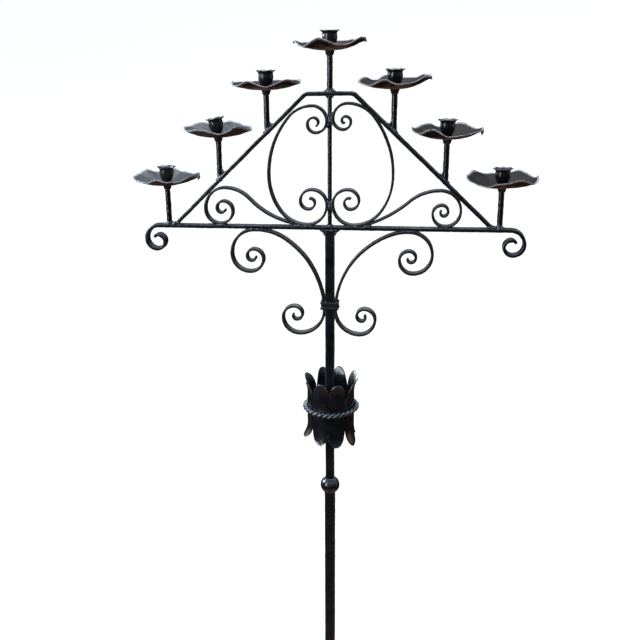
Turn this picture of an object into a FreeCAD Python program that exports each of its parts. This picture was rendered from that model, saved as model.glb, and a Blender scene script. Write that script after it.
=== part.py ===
import FreeCAD, Part
import math
import os

# A seven-light wrought-iron floor candelabrum. Millimetres, +Z up, origin on the floor under the post.
# +X runs along the crossbar, -Y is the front. Pieces on the right (+X) are drawn first and mirrored.

SIZES = [
    # the upright
    ("post_width", 15.6, "square of the upper post"),
    ("base_post_width", 19, "square of the lower post"),
    ("base_post_bottom", 150, "height of the lower post's free end"),
    ("knop_height", 708.7, "height of the knop's middle"),
    ("knop_radius", 19, "widest radius of the knop"),
    ("knop_thickness", 26.4, "distance between the knop's two flats"),
    ("knop_flat_radius", 12.5, "radius of each flat of the knop"),
    # bars
    ("crossbar_height", 1220, "height of the crossbar's centre line"),
    ("bar_thickness", 6, "crossbar and arch, up and down"),
    ("bar_depth", 16, "crossbar, arch and scrolls, front to back"),
    ("scroll_thickness", 3.8, "flat bar of the scrolls above the crossbar"),
    ("bracket_thickness", 4.6, "flat bar of the scrolls under the crossbar"),
    ("rod_radius", 3.2, "round rod in the middle of the lyre"),
    ("weld_gap", 0.1, "space left between pieces that are welded"),
    # crossbar ends
    ("crossbar_reach", 312.5, "from the middle to where the end curls"),
    ("crossbar_coil", 24.5, "first radius of the curled end"),
    ("crossbar_ratio", 0.78, "each quarter turn's radius over the last one's"),
    ("crossbar_quarters", 4.7, "quarter turns of the curled end"),
    # arch
    ("arch_rise", 228.5, "arch's flat top above the crossbar, centre to centre"),
    ("arch_shoulder", 41, "from the middle to the corner of the arch"),
    ("arch_foot", 281, "from the middle to the foot of the slope"),
    ("arch_bend", 14, "radius of the arch's corners"),
    # lyre scrolls, from the crossbar outwards and up to the rod
    ("lyre_heel", 59, "bend where the lyre leaves the crossbar"),
    ("lyre_heel_turn", 54.8, "degrees"),
    ("lyre_belly", 107.1, "bend up to the widest point"),
    ("lyre_flank", 156, "bend above the widest point"),
    ("lyre_flank_turn", 39.2, "degrees"),
    ("lyre_shoulder", 55.5, "bend under the arch"),
    ("lyre_head", 25.3, "bend from the top to the rod"),
    ("lyre_head_ratio", 0.73, "quarter turn ratio of the upper coil"),
    ("lyre_head_quarters", 5.8, "quarter turns of the upper coil"),
    ("lyre_foot_coil", 26.6, "first radius of the lower coil"),
    ("lyre_foot_ratio", 0.755, "quarter turn ratio of the lower coil"),
    ("lyre_foot_quarters", 4.7, "quarter turns of the lower coil"),
    # side scrolls on top of the crossbar
    ("side_reach", 199.3, "from the middle to the coil's lowest point"),
    ("side_heel", 26.4, "quarter turn from the crossbar up"),
    ("side_crown", 36.2, "quarter turn under the arch"),
    ("side_back", 69.5, "bend down towards the lyre"),
    ("side_back_turn", 43.5, "degrees"),
    ("side_tail", 187, "reverse bend that ends on the crossbar"),
    ("side_tail_turn", 26.8, "degrees"),
    ("side_coil", 22.4, "first radius of the coil"),
    ("side_ratio", 0.72, "quarter turn ratio of the coil"),
    ("side_quarters", 5, "quarter turns of the coil"),
    # bracket scrolls under the crossbar
    ("bracket_head", 92, "bend next to the crossbar"),
    ("bracket_head_turn", 32.6, "degrees"),
    ("bracket_flank", 147, "bend down to the post"),
    ("bracket_run", 8, "straight along the post, under the collar"),
    ("bracket_foot", 44.8, "quarter turn away from the post"),
    ("bracket_foot_coil", 29.5, "first radius of the lower coil"),
    ("bracket_foot_ratio", 0.7, "quarter turn ratio of the lower coil"),
    ("bracket_foot_quarters", 5.3, "quarter turns of the lower coil"),
    ("bracket_seat", 10.5, "straight under the crossbar"),
    ("bracket_outer", 41.5, "quarter turn at the outer end"),
    ("bracket_outer_coil", 33.5, "first radius of the outer coil"),
    ("bracket_outer_ratio", 0.715, "quarter turn ratio of the outer coil"),
    ("bracket_outer_quarters", 6, "quarter turns of the outer coil"),
    # collar that holds the bracket scrolls to the post
    ("collar_drop", 142.5, "collar's middle below the crossbar"),
    ("collar_height", 15, "top to bottom"),
    ("collar_slack", 0.6, "room inside the band for the scrolls' bend"),
    ("collar_wall", 2.2, "thickness of the band"),
    ("collar_lip", 1.2, "how far its two edges stand proud"),
    ("collar_lip_height", 3, "height of each raised edge"),
    # candle holders
    ("outer_reach", 293.5, "outermost holders, from the middle"),
    ("second_reach", 195, "second holder from the left, from the middle"),
    ("sixth_reach", 198.5, "sixth holder from the left, from the middle"),
    ("inner_reach", 109, "holders beside the top one, from the middle"),
    ("outer_rise", 62.5, "stem of the outermost holders"),
    ("middle_rise", 60.9, "stem of the second and sixth holders"),
    ("inner_rise", 58.4, "stem of the holders beside the top one"),
    ("top_rise", 58, "stem of the top holder"),
    ("stem_lean", 0.6, "degrees that the second holder from the left leans out"),
    ("cup_tilt", 8.5, "degrees that its cup tilts further"),
    ("stem_radius", 4.75, "round bar under each pan"),
    ("seat_width", 40, "block that shapes a stem's root to the bar it stands on"),
    ("boss_radius", 8, "top of the boss under each pan"),
    ("boss_height", 8.5, "boss, bottom to top"),
    ("boss_hole", 3.4, "radius of the rivet hole in the boss"),
    ("boss_hole_depth", 6, "depth of the rivet hole in the boss"),
    ("pan_radius", 62, "rim of the drip pan"),
    ("pan_depth", 13.5, "rim above the bottom, underside to underside"),
    ("pan_flat", 9, "radius of the flat middle"),
    ("pan_sheet", 1.6, "sheet thickness"),
    ("pan_hole", 3, "radius of the rivet hole in pan and cup"),
    ("cup_height", 30, "candle cup, foot to rim"),
    ("cup_radius", 13, "outside of the candle cup"),
    ("cup_bore", 11.25, "inside radius, for a 22 mm candle"),
    ("cup_floor", 4.5, "thickness at the foot"),
    ("cup_foot", 5, "radius of the foot"),
    ("cup_bowl_bottom", 10, "height where the straight bore starts"),
    ("cup_neck", 25.5, "height where the flared rim starts"),
    ("cup_rim", 17, "outer radius of the flared rim"),
    ("cup_belly_radius", 10, "point on the rounded underside, from the axis"),
    ("cup_belly_height", 3.6, "point on the rounded underside, above the foot"),
    ("cup_lip", 1.2, "width of the rim's top edge"),
    ("cup_lip_drop", 0.4, "how far the rim's outer edge is rounded down"),
    ("cup_throat", 3, "where the flare turns outward, above the neck"),
    ("rivet_radius", 2.4, "shank of the rivet"),
    ("rivet_head", 4, "radius of the rivet's head"),
    ("rivet_head_height", 2.2, "domed head"),
    ("rivet_depth", 3.6, "shank below the pan"),
    # leaf sleeve
    ("sleeve_height", 876, "height of the sleeve's middle"),
    ("leaf_radius", 43, "mid-sheet radius of the sleeve"),
    ("leaf_sheet", 2, "sheet thickness"),
    ("leaf_gap", 0.2, "degrees left open between two leaves"),
    ("leaf_straight", 36, "half height of the straight part"),
    ("leaf_flare", 52, "radius of the outward flare"),
    ("leaf_flare_turn", 29.5, "degrees of flare at each tip"),
    ("leaf_half_width", 16.4, "half width of one leaf"),
    ("leaf_reach", 61, "tip above the sleeve's middle"),
    ("leaf_shoulder", 34, "where the tip starts to narrow"),
    ("plate_sheet", 3, "thickness of the disc inside the sleeve"),
    ("tie_radius", 4.5, "thickness of the tie ring, halved"),
    ("tie_rise", 2, "tie ring above the sleeve's middle"),
    # foot
    ("leg_thickness", 8, "flat bar of the legs"),
    ("leg_width", 17, "width of the legs"),
    ("leg_run", 118, "straight along the post"),
    ("leg_knee", 150, "bend away from the post"),
    ("leg_knee_turn", 62, "degrees"),
    ("leg_calf", 90, "reverse bend towards the floor"),
    ("leg_calf_turn", 36, "degrees"),
    ("leg_ankle", 24, "bend onto the floor"),
    ("leg_toe_run", 24, "flat on the floor"),
    ("leg_toe_coil", 22, "first radius of the curled toe"),
    ("leg_ratio", 0.78, "quarter turn ratio of the toe"),
    ("leg_collar_height", 20, "band around the legs"),
    ("leg_collar_drop", 60, "band's bottom edge below the top of the legs"),
]
LEAF_COUNT = 8
LEG_COUNT = 4

doc = FreeCAD.newDocument("votive_candle_rack")
sheet = doc.addObject("Spreadsheet::Sheet", "sizes")
for row, (alias, value, note) in enumerate(SIZES, start=1):
    sheet.set(f"A{row}", str(value))
    sheet.setAlias(f"A{row}", alias)
    sheet.set(f"B{row}", note)
doc.recompute()
size = {alias: float(sheet.get(alias)) for alias, value, note in SIZES}
subparts = []

HOLDERS = [
    # place along the crossbar, rise of the stem, lean of the stem, further tilt of the cup
    (-size["outer_reach"], size["outer_rise"], 0, 0),
    (-size["second_reach"], size["middle_rise"], -size["stem_lean"], -size["cup_tilt"]),
    (-size["inner_reach"], size["inner_rise"], 0, 0),
    (0, size["top_rise"], 0, 0),
    (size["inner_reach"], size["inner_rise"], 0, 0),
    (size["sixth_reach"], size["middle_rise"], 0, 0),
    (size["outer_reach"], size["outer_rise"], 0, 0),
]


def bind(feature, expressions):
    """Tie a feature's properties to the sheet; bare names in the texts are aliases."""
    for name, text in expressions.items():
        words = text.replace("(", " ( ").replace(")", " ) ").split()
        linked = [f"sizes.{word}" if word in size else word for word in words]
        feature.setExpression(name, " ".join(linked))


def primitive(kind, name, expressions):
    feature = doc.addObject(kind, name)
    bind(feature, expressions)
    return feature


def boolean(kind, name, base, tool):
    feature = doc.addObject(kind, name)
    feature.Base = base
    feature.Tool = tool
    return feature


def keep(feature, label=None):
    """Register a finished piece; its label names its file."""
    if label:
        feature.Label = label
    subparts.append(feature)
    return feature


def coil(radius, ratio, quarters, side=1):
    """Bends of a scroll's end: quarter turns, each tighter than the last."""
    steps = []
    while quarters > 0:
        steps.append((radius, side * 90 * min(quarters, 1)))
        radius *= ratio
        quarters -= 1
    return steps


def walk(start, heading, steps):
    """Follow a centre line. A step is (length, 0) or (radius, turn), turn > 0 to the left."""
    x, z = start
    track = []
    for reach, turn in steps:
        angle = math.radians(heading)
        if turn == 0:
            centre = None
            end = (x + reach * math.cos(angle), z + reach * math.sin(angle))
        else:
            side = math.copysign(1, turn)
            centre = (x - side * reach * math.sin(angle), z + side * reach * math.cos(angle))
            after = math.radians(heading + turn)
            end = (centre[0] + side * reach * math.sin(after), centre[1] - side * reach * math.cos(after))
        track.append(((x, z), end, centre, reach, heading, turn))
        x, z = end
        heading += turn
    return track


def end_of(start, heading, steps):
    return walk(start, heading, steps)[-1][1]


def side_curves(track, offset, flip, skew):
    """Lines and arcs beside the centre line, offset to its left; skew slants the last face."""
    curves = []
    for number, (start, end, centre, reach, heading, turn) in enumerate(track):
        if turn == 0:
            angle = math.radians(heading)
            extra = offset * math.tan(math.radians(skew)) if number == len(track) - 1 else 0
            across = (-offset * math.sin(angle), offset * math.cos(angle))
            first = (start[0] + across[0], start[1] + across[1])
            beyond = (extra * math.cos(angle), extra * math.sin(angle))
            last = (end[0] + across[0] + beyond[0], end[1] + across[1] + beyond[1])
            curves.append(Part.LineSegment(point(first, flip), point(last, flip)))
            continue
        side = math.copysign(1, turn)
        circle = Part.Circle(point(centre, flip), FreeCAD.Vector(0, 0, 1), reach - side * offset)
        angles = sorted(math.radians(heading + part - side * 90) for part in (0, turn))
        if flip < 0:
            angles = sorted(math.pi - angle for angle in angles)
        curves.append(Part.ArcOfCircle(circle, *angles))
    return curves


def point(place, flip=1):
    return FreeCAD.Vector(flip * place[0], place[1], 0)


def side_end(track, offset, flip, skew):
    start, end, centre, reach, heading, turn = track[-1]
    angle = math.radians(heading + turn)
    extra = offset * math.tan(math.radians(skew)) if turn == 0 else 0
    x = end[0] - offset * math.sin(angle) + extra * math.cos(angle)
    z = end[1] + offset * math.cos(angle) + extra * math.sin(angle)
    return point((x, z), flip)


def bar_outline(start, runs, thickness, flip=1, skew=0):
    """Closed outline of a bent bar that leaves start in one or two runs of (heading, steps)."""
    half = thickness / 2
    outline = []
    for heading, steps in runs:
        track = walk(start, heading, steps)
        outline += side_curves(track, half, flip, skew) + side_curves(track, -half, flip, skew)
        last = [side_end(track, offset, flip, skew) for offset in (half, -half)]
        outline.append(Part.LineSegment(*last))
    if len(runs) == 1:
        angle = math.radians(runs[0][0])
        across = (half * math.sin(angle), half * math.cos(angle))
        first = point((start[0] - across[0], start[1] + across[1]), flip)
        second = point((start[0] + across[0], start[1] - across[1]), flip)
        outline.append(Part.LineSegment(first, second))
    return outline


def sketched_body(name, outline, plane="XZ_Plane"):
    body = doc.addObject("PartDesign::Body", name)
    sketch = body.newObject("Sketcher::SketchObject", name + "_sketch")
    face = next(item for item in body.Origin.OriginFeatures if item.Role == plane)
    sketch.AttachmentSupport = [(face, "")]
    sketch.MapMode = "FlatFace"
    sketch.addGeometry(outline, False)
    return body, sketch


def padded(name, outline, length, symmetric=True, plane="XZ_Plane"):
    body, sketch = sketched_body(name, outline, plane)
    pad = body.newObject("PartDesign::Pad", name + "_pad")
    pad.Profile = sketch
    pad.SideType = "Symmetric" if symmetric else "One side"
    bind(pad, {"Length": length})
    return body


def revolved(name, outline, angle="360"):
    body, sketch = sketched_body(name, outline)
    turn = body.newObject("PartDesign::Revolution", name + "_turn")
    turn.Profile = sketch
    turn.ReferenceAxis = (sketch, ["V_Axis"])
    turn.Midplane = True
    bind(turn, {"Angle": angle})
    return body


def polygon(corners):
    places = [FreeCAD.Vector(x, z, 0) for x, z in corners]
    return [Part.LineSegment(a, b) for a, b in zip(places, places[1:] + places[:1])]


def rectangle(half_x, half_y):
    return polygon([(-half_x, -half_y), (half_x, -half_y), (half_x, half_y), (-half_x, half_y)])


def square_bar(name, width, bottom, top):
    return primitive("Part::Box", name, {
        "Length": width,
        "Width": width,
        "Height": f"({top}) - ({bottom})",
        "Placement.Base.x": f"-1 * ({width}) / 2",
        "Placement.Base.y": f"-1 * ({width}) / 2",
        "Placement.Base.z": bottom,
    })


def upright_cylinder(name, radius, bottom, height):
    return primitive("Part::Cylinder", name, {"Radius": radius, "Height": height, "Placement.Base.z": bottom})


# ---------------------------------------------------------------- the upright
KNOP_BOTTOM = "knop_height - knop_thickness / 2"
KNOP_TOP = "knop_height + knop_thickness / 2"


def build_upright():
    keep(square_bar("lower_post", "base_post_width", "base_post_bottom", KNOP_BOTTOM))
    keep(square_bar("upper_post", "post_width", KNOP_TOP, "crossbar_height - bar_thickness / 2"))
    half = size["knop_thickness"] / 2
    flat = size["knop_flat_radius"]
    bulge = Part.Arc(point((flat, -half)), point((size["knop_radius"], 0)), point((flat, half)))
    edges = [((flat, half), (0, half)), ((0, half), (0, -half)), ((0, -half), (flat, -half))]
    outline = [bulge] + [Part.LineSegment(point(a), point(b)) for a, b in edges]
    knop = keep(revolved("post_knop", outline))
    bind(knop, {"Placement.Base.z": "knop_height"})


# ---------------------------------------------------------------- crossbar, arch and rod
def arch_slope():
    fall = size["arch_rise"] - size["bar_thickness"] / 2
    return math.degrees(math.atan2(fall, size["arch_foot"] - size["arch_shoulder"]))


def arch_height(x):
    """Height of the arch's centre line above the crossbar's."""
    beyond = max(0, abs(x) - size["arch_shoulder"])
    return size["arch_rise"] - beyond * math.tan(math.radians(arch_slope()))


def build_crossbar():
    curl = coil(size["crossbar_coil"], size["crossbar_ratio"], size["crossbar_quarters"], -1)
    mirrored_curl = [(reach, -turn) for reach, turn in curl]
    runs = [(0, [(size["crossbar_reach"], 0)] + curl), (180, [(size["crossbar_reach"], 0)] + mirrored_curl)]
    crossbar = keep(padded("crossbar", bar_outline((0, 0), runs, size["bar_thickness"]), "bar_depth"))
    bind(crossbar, {"Placement.Base.z": "crossbar_height"})


def build_arch():
    slope = arch_slope()
    corner = size["arch_bend"] * math.tan(math.radians(slope / 2))
    fall = size["arch_rise"] - size["bar_thickness"] / 2
    flat = size["arch_shoulder"] - corner
    slant = math.hypot(fall, size["arch_foot"] - size["arch_shoulder"]) - corner
    half = size["bar_thickness"] / 2
    outline = []
    for flip in (1, -1):
        track = walk((0, 0), 0, [(flat, 0), (size["arch_bend"], -slope), (slant, 0)])
        for offset in (half, -half):
            outline += side_curves(track, offset, flip, 90 - slope)
        ends = [side_end(track, offset, flip, 90 - slope) for offset in (half, -half)]
        outline.append(Part.LineSegment(*ends))
    arch = keep(padded("arch_bar", outline, "bar_depth"))
    bind(arch, {"Placement.Base.z": "crossbar_height + arch_rise + weld_gap"})


def build_rod():
    bottom = "crossbar_height + bar_thickness / 2"
    keep(upright_cylinder("centre_rod", "rod_radius", bottom, "arch_rise - bar_thickness"))


# ---------------------------------------------------------------- scrolls
def scroll_pair(name, start, runs, thickness):
    for side, flip in (("left", -1), ("right", 1)):
        outline = bar_outline(start, runs, thickness, flip)
        body = keep(padded(f"{name}_{side}", outline, "bar_depth"))
        bind(body, {"Placement.Base.z": "crossbar_height"})


def resting_height(thickness):
    """Centre line of a scroll that lies on the crossbar."""
    return size["bar_thickness"] / 2 + thickness / 2 + size["weld_gap"]


def build_lyre():
    thickness = size["scroll_thickness"]
    rod_contact = size["rod_radius"] + thickness / 2 + size["weld_gap"]
    outward = [
        (size["lyre_heel"], size["lyre_heel_turn"]),
        (size["lyre_belly"], 90 - size["lyre_heel_turn"]),
        (size["lyre_flank"], size["lyre_flank_turn"]),
        (size["lyre_shoulder"], 90 - size["lyre_flank_turn"]),
    ]
    outward += coil(size["lyre_head"], size["lyre_head_ratio"], size["lyre_head_quarters"])
    at_rod = end_of((0, 0), 0, outward[:5])
    foot_bend = -at_rod[0]
    inward = [(foot_bend, -90)]
    inward += coil(size["lyre_foot_coil"], size["lyre_foot_ratio"], size["lyre_foot_quarters"], -1)
    start = (rod_contact + foot_bend, resting_height(thickness))
    scroll_pair("lyre_scroll", start, [(0, outward), (180, inward)], thickness)


def build_side_scrolls():
    thickness = size["scroll_thickness"]
    outward = [
        (size["side_heel"], 90),
        (size["side_crown"], 90),
        (size["side_back"], size["side_back_turn"]),
        (size["side_tail"], -size["side_tail_turn"]),
    ]
    inward = coil(size["side_coil"], size["side_ratio"], size["side_quarters"], -1)
    start = (size["side_reach"], resting_height(thickness))
    scroll_pair("side_scroll", start, [(0, outward), (180, inward)], thickness)


def build_bracket_scrolls():
    thickness = size["bracket_thickness"]
    post_contact = size["post_width"] / 2 + thickness / 2 + size["weld_gap"]
    inward = [
        (size["bracket_head"], size["bracket_head_turn"]),
        (size["bracket_flank"], 90 - size["bracket_head_turn"]),
        (size["bracket_run"], 0),
        (size["bracket_foot"], 90),
    ]
    inward += coil(size["bracket_foot_coil"], size["bracket_foot_ratio"], size["bracket_foot_quarters"])
    outward = [(size["bracket_seat"], 0), (size["bracket_outer"], -90)]
    outward += coil(size["bracket_outer_coil"], size["bracket_outer_ratio"],
                    size["bracket_outer_quarters"], -1)
    at_post = end_of((0, 0), 180, inward[:2])
    start = (post_contact - at_post[0], -resting_height(thickness))
    scroll_pair("bracket_scroll", start, [(180, inward), (0, outward)], thickness)


# ---------------------------------------------------------------- collars
def build_collar(name, inner_x, inner_y, height_text, bottom_text):
    """A rectangular band with a raised edge at its top and bottom."""
    wall = size["collar_wall"]
    lip = size["collar_lip"]
    inner = rectangle(inner_x, inner_y)
    outer = rectangle(inner_x + wall, inner_y + wall)
    proud = rectangle(inner_x + wall + lip, inner_y + wall + lip)
    band = padded(name + "_band", outer + inner, height_text, False, "XY_Plane")
    lower = padded(name + "_lower_lip", proud + inner, "collar_lip_height", False, "XY_Plane")
    upper = padded(name + "_upper_lip", proud + inner, "collar_lip_height", False, "XY_Plane")
    bind(upper, {"Placement.Base.z": f"{height_text} - collar_lip_height"})
    joined = boolean("Part::Fuse", name + "_edges", lower, upper)
    collar = keep(boolean("Part::Fuse", name, band, joined))
    bind(collar, {"Placement.Base.z": bottom_text})


def build_collars():
    clear = size["weld_gap"]
    around_scrolls = size["post_width"] / 2 + size["bracket_thickness"] + size["collar_slack"]
    build_collar("scroll_collar", around_scrolls, size["bar_depth"] / 2 + clear,
                 "collar_height", "crossbar_height - collar_drop - collar_height / 2")
    around_legs = size["base_post_width"] / 2 + size["leg_thickness"] + 2 * clear
    build_collar("leg_collar", around_legs, around_legs,
                 "leg_collar_height", f"{leg_top()} - leg_collar_drop")


# ---------------------------------------------------------------- leaf sleeve
def leaf_prism(name):
    """Outline of one leaf, a strip with a half ellipse at each end, as a block to cut it with."""
    half = size["leaf_half_width"]
    shoulder = size["leaf_shoulder"]
    tip = size["leaf_reach"] - shoulder
    upright = [Part.LineSegment(point((x, -shoulder)), point((x, shoulder))) for x in (-half, half)]
    ends = []
    for side in (1, -1):
        centre = FreeCAD.Vector(0, side * shoulder, 0)
        end, edge = centre + FreeCAD.Vector(0, tip, 0), centre + FreeCAD.Vector(half, 0, 0)
        ellipse = Part.Ellipse(end, edge, centre)
        middle = (1 - side) * math.pi / 2
        ends.append(Part.ArcOfEllipse(ellipse, middle - math.pi / 2, middle + math.pi / 2))
    return padded(name, upright + ends, "leaf_radius + leaf_flare", False)


def build_sleeve():
    flare = size["leaf_flare_turn"]
    up = [(size["leaf_straight"], 0), (size["leaf_flare"], -flare)]
    down = [(size["leaf_straight"], 0), (size["leaf_flare"], flare)]
    profile = bar_outline((size["leaf_radius"], 0), [(90, up), (270, down)], size["leaf_sheet"])
    for number in range(LEAF_COUNT):
        shell = revolved(f"leaf_shell_{number + 1}", profile, f"{360 / LEAF_COUNT} - leaf_gap")
        turn_about_z(shell, -90)
        prism = leaf_prism(f"leaf_outline_{number + 1}")
        leaf = keep(boolean("Part::Common", f"sleeve_leaf_{number + 1}", shell, prism))
        turn_about_z(leaf, (number + 0.5) * 360 / LEAF_COUNT)
        bind(leaf, {"Placement.Base.z": "sleeve_height"})
    tie = keep(doc.addObject("Part::Torus", "sleeve_tie_ring"))
    bind(tie, {
        "Radius1": "leaf_radius + leaf_sheet / 2 + tie_radius + weld_gap",
        "Radius2": "tie_radius",
        "Placement.Base.z": "sleeve_height + tie_rise",
    })
    plate = upright_cylinder("sleeve_plate_blank", "leaf_radius - leaf_sheet / 2 - weld_gap",
                             "0", "plate_sheet")
    hole = square_bar("sleeve_plate_hole", "post_width + 2 * weld_gap", "-1 * plate_sheet", "2 * plate_sheet")
    disc = keep(boolean("Part::Cut", "sleeve_plate", plate, hole))
    bind(disc, {"Placement.Base.z": "sleeve_height + tie_rise"})


def turn_about_z(feature, degrees):
    feature.Placement.Rotation = FreeCAD.Rotation(FreeCAD.Vector(0, 0, 1), degrees)


# ---------------------------------------------------------------- candle holders
def pan_outline():
    """Section of the dish: a flat middle, then one arc up to the rim."""
    flat = size["pan_flat"]
    sheet_thickness = size["pan_sheet"]
    across = size["pan_radius"] - flat
    radius = (across ** 2 + size["pan_depth"] ** 2) / (2 * size["pan_depth"])
    turn = math.degrees(math.asin(across / radius))
    hole = size["pan_hole"]
    track = walk((hole, sheet_thickness / 2), 0, [(flat - hole, 0), (radius - sheet_thickness / 2, turn)])
    outline = side_curves(track, sheet_thickness / 2, 1, 0) + side_curves(track, -sheet_thickness / 2, 1, 0)
    outline.append(Part.LineSegment(side_end(track, 0.5 * sheet_thickness, 1, 0),
                                    side_end(track, -0.5 * sheet_thickness, 1, 0)))
    outline.append(Part.LineSegment(point((hole, 0)), point((hole, sheet_thickness))))
    return outline


def cup_outline():
    """Section of the tulip cup, from its foot up the outside and back down the bore."""
    hole, foot, floor = size["pan_hole"], size["cup_foot"], size["cup_floor"]
    radius, bore, rim = size["cup_radius"], size["cup_bore"], size["cup_rim"]
    bottom, neck, height = size["cup_bowl_bottom"], size["cup_neck"], size["cup_height"]
    belly = point((size["cup_belly_radius"], size["cup_belly_height"]))
    lip, throat = size["cup_lip"], neck + size["cup_throat"]
    wall = radius - bore
    rim_edge = point((rim, height - size["cup_lip_drop"]))
    outside = [
        Part.Arc(point((foot, 0)), belly, point((radius, bottom))),
        Part.LineSegment(point((radius, bottom)), point((radius, neck))),
        Part.Arc(point((radius, neck)), point((radius + lip, throat)), rim_edge),
        Part.LineSegment(rim_edge, point((rim - lip, height))),
    ]
    inside = [
        Part.Arc(point((rim - lip, height)), point((bore + lip, throat)), point((bore, neck))),
        Part.LineSegment(point((bore, neck)), point((bore, bottom))),
        Part.LineSegment(point((bore, bottom)), point((foot + wall, floor))),
        Part.LineSegment(point((foot + wall, floor)), point((hole, floor))),
        Part.LineSegment(point((hole, floor)), point((hole, 0))),
        Part.LineSegment(point((hole, 0)), point((foot, 0))),
    ]
    return outside + inside


def rivet_outline():
    shank, head, head_height = size["rivet_radius"], size["rivet_head"], size["rivet_head_height"]
    bottom = -size["pan_sheet"] - size["rivet_depth"]
    seat = size["cup_floor"]
    sphere = (head ** 2 + head_height ** 2) / (2 * head_height)
    sphere_middle = seat + head_height - sphere
    edge_angle = math.atan2(seat - sphere_middle, head)
    circle = Part.Circle(point((0, sphere_middle)), FreeCAD.Vector(0, 0, 1), sphere)
    dome = Part.ArcOfCircle(circle, edge_angle, math.pi / 2)
    corners = [(0, seat + head_height), (0, bottom), (shank, bottom), (shank, seat), (head, seat)]
    return [dome] + [Part.LineSegment(point(a), point(b)) for a, b in zip(corners, corners[1:])]


def leaning(x, z, degrees):
    """Placement that leans a holder about its stem's root."""
    return FreeCAD.Placement(FreeCAD.Vector(x, 0, z), FreeCAD.Rotation(FreeCAD.Vector(0, 1, 0), degrees))


def raised(height):
    return FreeCAD.Placement(FreeCAD.Vector(0, 0, height), FreeCAD.Rotation())


def build_seat(number, x, root, slope):
    """Block whose top face is the top of the bar that a stem stands on."""
    seat = primitive("Part::Box", f"stem_seat_{number}", {
        "Length": "seat_width",
        "Width": "seat_width",
        "Height": "seat_width",
    })
    half = size["seat_width"] / 2
    top = size["bar_thickness"] / 2 + size["weld_gap"]
    corner = FreeCAD.Placement(FreeCAD.Vector(-half, -half, top - size["seat_width"]), FreeCAD.Rotation())
    seat.Placement = leaning(x, root, slope) * corner
    return seat


def build_holder(number, x, rise, lean, tilt):
    root = size["crossbar_height"]
    slope = 0
    if abs(x) < size["arch_foot"]:
        root += arch_height(x) + size["weld_gap"]
        if abs(x) > size["arch_shoulder"]:
            slope = math.copysign(arch_slope(), x)
    place = leaning(x, root, lean)
    height = size["bar_thickness"] / 2 / math.cos(math.radians(slope)) + rise
    below = size["seat_width"] / 4
    blank = primitive("Part::Cylinder", f"stem_blank_{number}", {
        "Radius": "stem_radius",
        "Height": f"{height + below}",
    })
    blank.Placement = place * raised(-below)
    keep(boolean("Part::Cut", f"candle_stem_{number}", blank, build_seat(number, x, root, slope)))
    cone = primitive("Part::Cone", f"boss_cone_{number}", {
        "Radius1": "stem_radius",
        "Radius2": "boss_radius",
        "Height": "boss_height",
    })
    hole = upright_cylinder(f"boss_hole_{number}", "boss_hole",
                            "boss_height - boss_hole_depth", "boss_height")
    boss = boolean("Part::Cut", f"boss_{number}", cone, hole)
    boss.Placement = place * raised(height)
    pan = keep(revolved(f"drip_pan_{number}", pan_outline()))
    pan.Placement = place * raised(height + size["boss_height"])
    lift = size["cup_foot"] * math.sin(math.radians(abs(tilt))) + size["weld_gap"] * (tilt != 0)
    pivot = place * raised(height + size["boss_height"] + size["pan_sheet"])
    cup_place = pivot * leaning(0, 0, tilt) * raised(lift)
    cup = keep(revolved(f"candle_cup_{number}", cup_outline()))
    cup.Placement = cup_place
    rivet = revolved(f"rivet_{number}", rivet_outline())
    rivet.Placement = cup_place
    return boss, rivet


def build_holders():
    bosses = []
    rivets = []
    for number, (x, rise, lean, tilt) in enumerate(HOLDERS, start=1):
        boss, rivet = build_holder(number, x, rise, lean, tilt)
        bosses.append(boss)
        rivets.append(rivet)
    for name, pieces in (("stem_bosses", bosses), ("cup_rivets", rivets)):
        group = keep(doc.addObject("Part::Compound", name))
        group.Links = pieces


# ---------------------------------------------------------------- foot
def leg_steps():
    """From the flat of the toe back up to the post."""
    onto_floor = size["leg_knee_turn"] - size["leg_calf_turn"] - 90
    return [
        (size["leg_toe_run"] / 2, 0),
        (size["leg_ankle"], onto_floor),
        (size["leg_calf"], size["leg_calf_turn"]),
        (size["leg_knee"], -size["leg_knee_turn"]),
        (size["leg_run"], 0),
    ]


def leg_top():
    return end_of((0, size["leg_thickness"] / 2), 180, leg_steps())[1]


def build_legs():
    steps = leg_steps()
    contact = size["base_post_width"] / 2 + size["leg_thickness"] / 2 + size["weld_gap"]
    start = (contact - end_of((0, 0), 180, steps)[0], size["leg_thickness"] / 2)
    toe = [(size["leg_toe_run"] / 2, 0)] + coil(size["leg_toe_coil"], size["leg_ratio"], 4.6)
    for number in range(LEG_COUNT):
        outline = bar_outline(start, [(180, steps), (0, toe)], size["leg_thickness"])
        leg = keep(padded(f"foot_leg_{number + 1}", outline, "leg_width"))
        turn_about_z(leg, number * 360 / LEG_COUNT)


# ---------------------------------------------------------------- assembly
def check(feature):
    bad = [state for state in feature.State if state in ("Invalid", "Error")]
    if bad:
        raise RuntimeError(f"{feature.Name}: {feature.State}")


def main():
    build_upright()
    build_crossbar()
    build_arch()
    build_rod()
    build_lyre()
    build_side_scrolls()
    build_bracket_scrolls()
    build_collars()
    build_sleeve()
    build_holders()
    build_legs()
    doc.recompute()
    for feature in doc.Objects:
        check(feature)
    for feature in subparts:
        if feature.Shape.isNull() or not feature.Shape.isValid() or not feature.Shape.Solids:
            raise RuntimeError(f"{feature.Label}: no valid solid")
    os.makedirs("parts", exist_ok=True)
    for feature in subparts:
        feature.Shape.exportStep(f"parts/{feature.Label}.step")
        box = feature.Shape.BoundBox
        print(f"{feature.Label}: {len(feature.Shape.Solids)} solid(s), "
              f"{feature.Shape.Volume / 1000:.1f} cm3, x {box.XMin:.1f}..{box.XMax:.1f}, "
              f"y {box.YMin:.1f}..{box.YMax:.1f}, z {box.ZMin:.1f}..{box.ZMax:.1f}")


main()
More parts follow.
